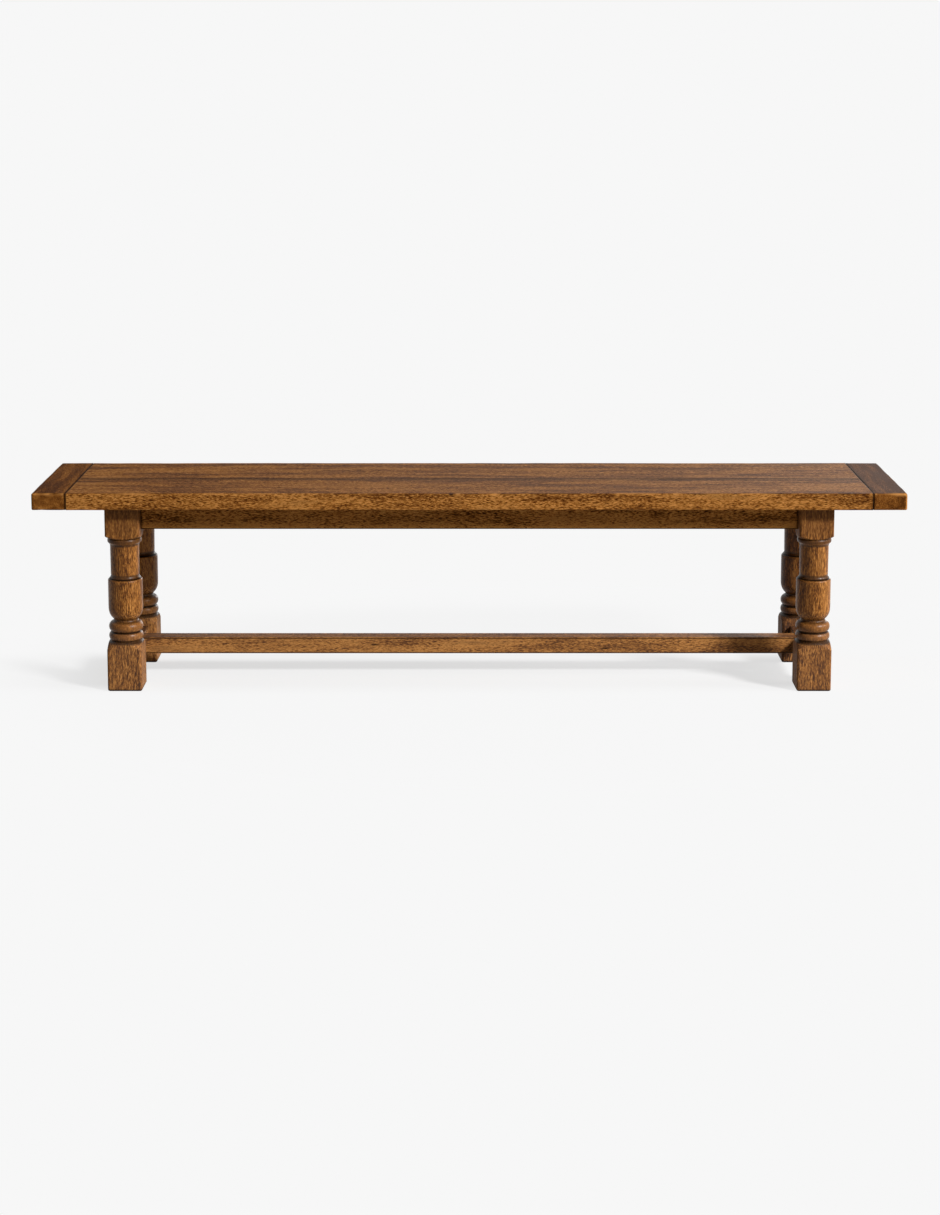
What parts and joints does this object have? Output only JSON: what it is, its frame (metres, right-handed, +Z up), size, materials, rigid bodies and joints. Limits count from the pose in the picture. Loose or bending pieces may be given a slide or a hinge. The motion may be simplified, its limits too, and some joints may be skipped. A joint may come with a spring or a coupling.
{
  "type": "wooden bench",
  "caption": "Long backless wooden bench: plank seat with breadboard ends on turned legs, tied by aprons and a low H stretcher, for sitting at a table.",
  "frame": {"origin": "on the floor, under the middle of the seat", "axes": "+X along the seat to the right, +Y to the back, +Z up"},
  "size_m": [1.93, 0.381, 0.457],
  "materials": {
    "seat_wood": "satin",
    "frame_wood": "satin",
    "inner_wood": "matte",
    "zinc_steel": "satin"
  },
  "bodies": {
    "root": {"front_seat_plank": "seat_wood", "rear_seat_plank": "seat_wood", "left_breadboard_end": "seat_wood", "right_breadboard_end": "seat_wood", "plank_spline": "inner_wood", "breadboard_pegs": "inner_wood", "front_left_leg": "frame_wood", "front_right_leg": "frame_wood", "rear_left_leg": "frame_wood", "rear_right_leg": "frame_wood", "front_apron": "frame_wood", "rear_apron": "frame_wood", "left_end_apron": "frame_wood", "right_end_apron": "frame_wood", "left_side_stretcher": "frame_wood", "right_side_stretcher": "frame_wood", "long_stretcher": "frame_wood", "centre_cross_rail": "inner_wood", "front_left_corner_block": "inner_wood", "front_right_corner_block": "inner_wood", "rear_left_corner_block": "inner_wood", "rear_right_corner_block": "inner_wood", "hanger_bolts": "zinc_steel", "hanger_washers": "zinc_steel", "hanger_nuts": "zinc_steel", "corner_block_screws": "zinc_steel", "cross_rail_screws": "zinc_steel", "seat_fasteners": "zinc_steel", "fastener_apron_screws": "zinc_steel", "fastener_seat_screws": "zinc_steel"}
  },
  "joints": []
}
